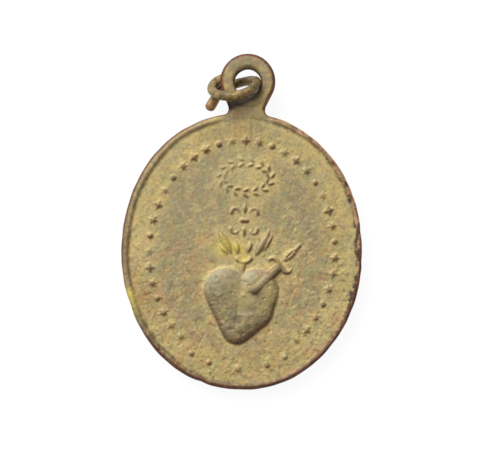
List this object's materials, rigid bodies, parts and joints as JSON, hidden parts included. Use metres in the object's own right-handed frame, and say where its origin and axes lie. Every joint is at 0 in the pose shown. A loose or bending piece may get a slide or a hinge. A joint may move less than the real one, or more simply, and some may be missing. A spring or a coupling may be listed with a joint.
{
  "type": "religious medal",
  "caption": "Oval struck brass devotional medal with raised rim, heart-and-flames relief, integral hanging eye and a loose overlapped wire jump ring.",
  "frame": {"origin": "middle of the overall width and length, at the lowest point of the jump ring's wire", "axes": "+Z out of the struck face, the medal lying on its back; +Y from the oval towards the hanging eye; +X to the right as the face is read"},
  "size_m": [0.024, 0.0336, 0.0051],
  "materials": {
    "medal_brass": "worn, olive-brown patina with brighter brass on high points",
    "ring_brass": "worn drawn wire with brown patina"
  },
  "bodies": {
    "medal": {"medal": "medal_brass"},
    "jump_ring": {"jump_ring": "ring_brass"}
  },
  "joints": [
    {"name": "ring_travel", "type": "hinge", "parent": "medal", "child": "jump_ring", "pos_m": [0, 0.01402, 0.00224], "axis": [0, 0, 1], "range_deg": [-185, 7]}
  ]
}
